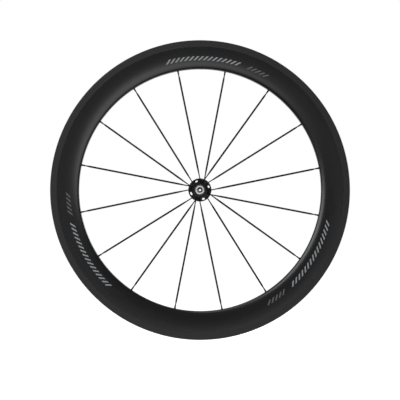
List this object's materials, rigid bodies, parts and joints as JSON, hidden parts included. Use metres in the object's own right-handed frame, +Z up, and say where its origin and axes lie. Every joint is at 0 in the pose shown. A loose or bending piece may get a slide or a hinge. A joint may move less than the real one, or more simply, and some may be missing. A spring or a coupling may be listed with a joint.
{
  "type": "bicycle wheel",
  "caption": "Front road bicycle wheel with a deep hollow rim, straight bladed spokes in pairs and a small flanged hub that turns on a hollow quick-release axle.",
  "frame": {"origin": "centre of the wheel, on the axle and in the rim's mid plane", "axes": "+Y along the axle to the left side, +X forwards, +Z up with the valve hole at the top"},
  "size_m": [0.6319, 0.109, 0.632],
  "materials": {
    "rim_carbon": "satin clear-coated carbon fibre",
    "spoke_steel": "black oxide, satin",
    "nipple_alloy": "black anodised",
    "hub_alloy": "black anodised",
    "bearing_seal": "black moulded seal on a ground ring",
    "bearing_steel": "ground",
    "axle_alloy": "black anodised",
    "locknut_alloy": "turned, satin silver"
  },
  "bodies": {
    "axle": {"axle": "axle_alloy", "bearing_inner_rings": "bearing_steel", "locknuts": "locknut_alloy"},
    "wheel": {"hub_shell": "hub_alloy", "bearing_outer_rings": "bearing_seal", "spoke_01": "spoke_steel", "spoke_02": "spoke_steel", "spoke_03": "spoke_steel", "spoke_04": "spoke_steel", "spoke_05": "spoke_steel", "spoke_06": "spoke_steel", "spoke_07": "spoke_steel", "spoke_08": "spoke_steel", "spoke_09": "spoke_steel", "spoke_10": "spoke_steel", "spoke_11": "spoke_steel", "spoke_12": "spoke_steel", "spoke_13": "spoke_steel", "spoke_14": "spoke_steel", "spoke_15": "spoke_steel", "spoke_16": "spoke_steel", "spoke_nipples": "nipple_alloy", "rim": "rim_carbon"}
  },
  "joints": [
    {"name": "wheel_spin", "type": "hinge", "parent": "axle", "child": "wheel", "pos_m": [0, 0, 0], "axis": [0, 1, 0], "continuous": true}
  ]
}
